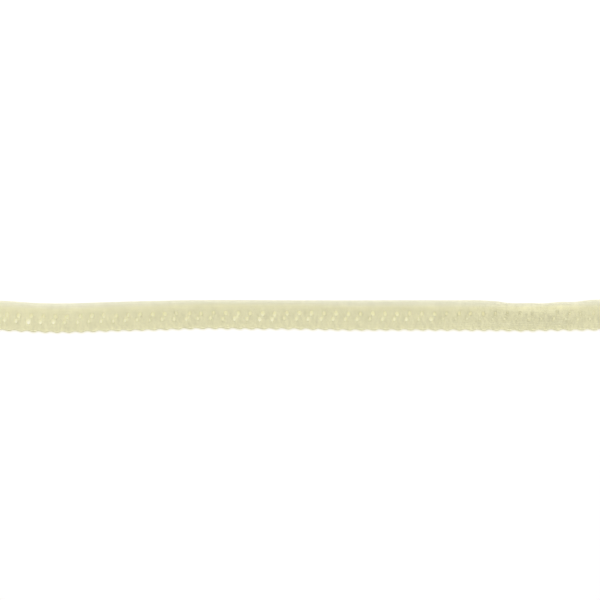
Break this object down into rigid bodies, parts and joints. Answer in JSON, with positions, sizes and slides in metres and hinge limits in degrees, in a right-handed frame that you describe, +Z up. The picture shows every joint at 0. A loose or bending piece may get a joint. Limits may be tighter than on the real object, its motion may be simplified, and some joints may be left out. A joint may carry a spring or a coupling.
{
  "type": "cut length of scalloped fold-over elastic",
  "caption": "Cut length of pale fold-over elastic tape lying folded along its length, with pinhole openwork and a finely scalloped edge on its front leaf, for binding a garment's edge.",
  "frame": {"origin": "on the surface that the tape lies on, under the middle of its bounding box", "axes": "+X along the tape, +Y towards its fold, +Z up"},
  "size_m": [0.2762, 0.0141, 0.0031],
  "materials": {
    "elastic": "satin"
  },
  "bodies": {
    "root": {"elastic_tape": "elastic"}
  },
  "joints": []
}
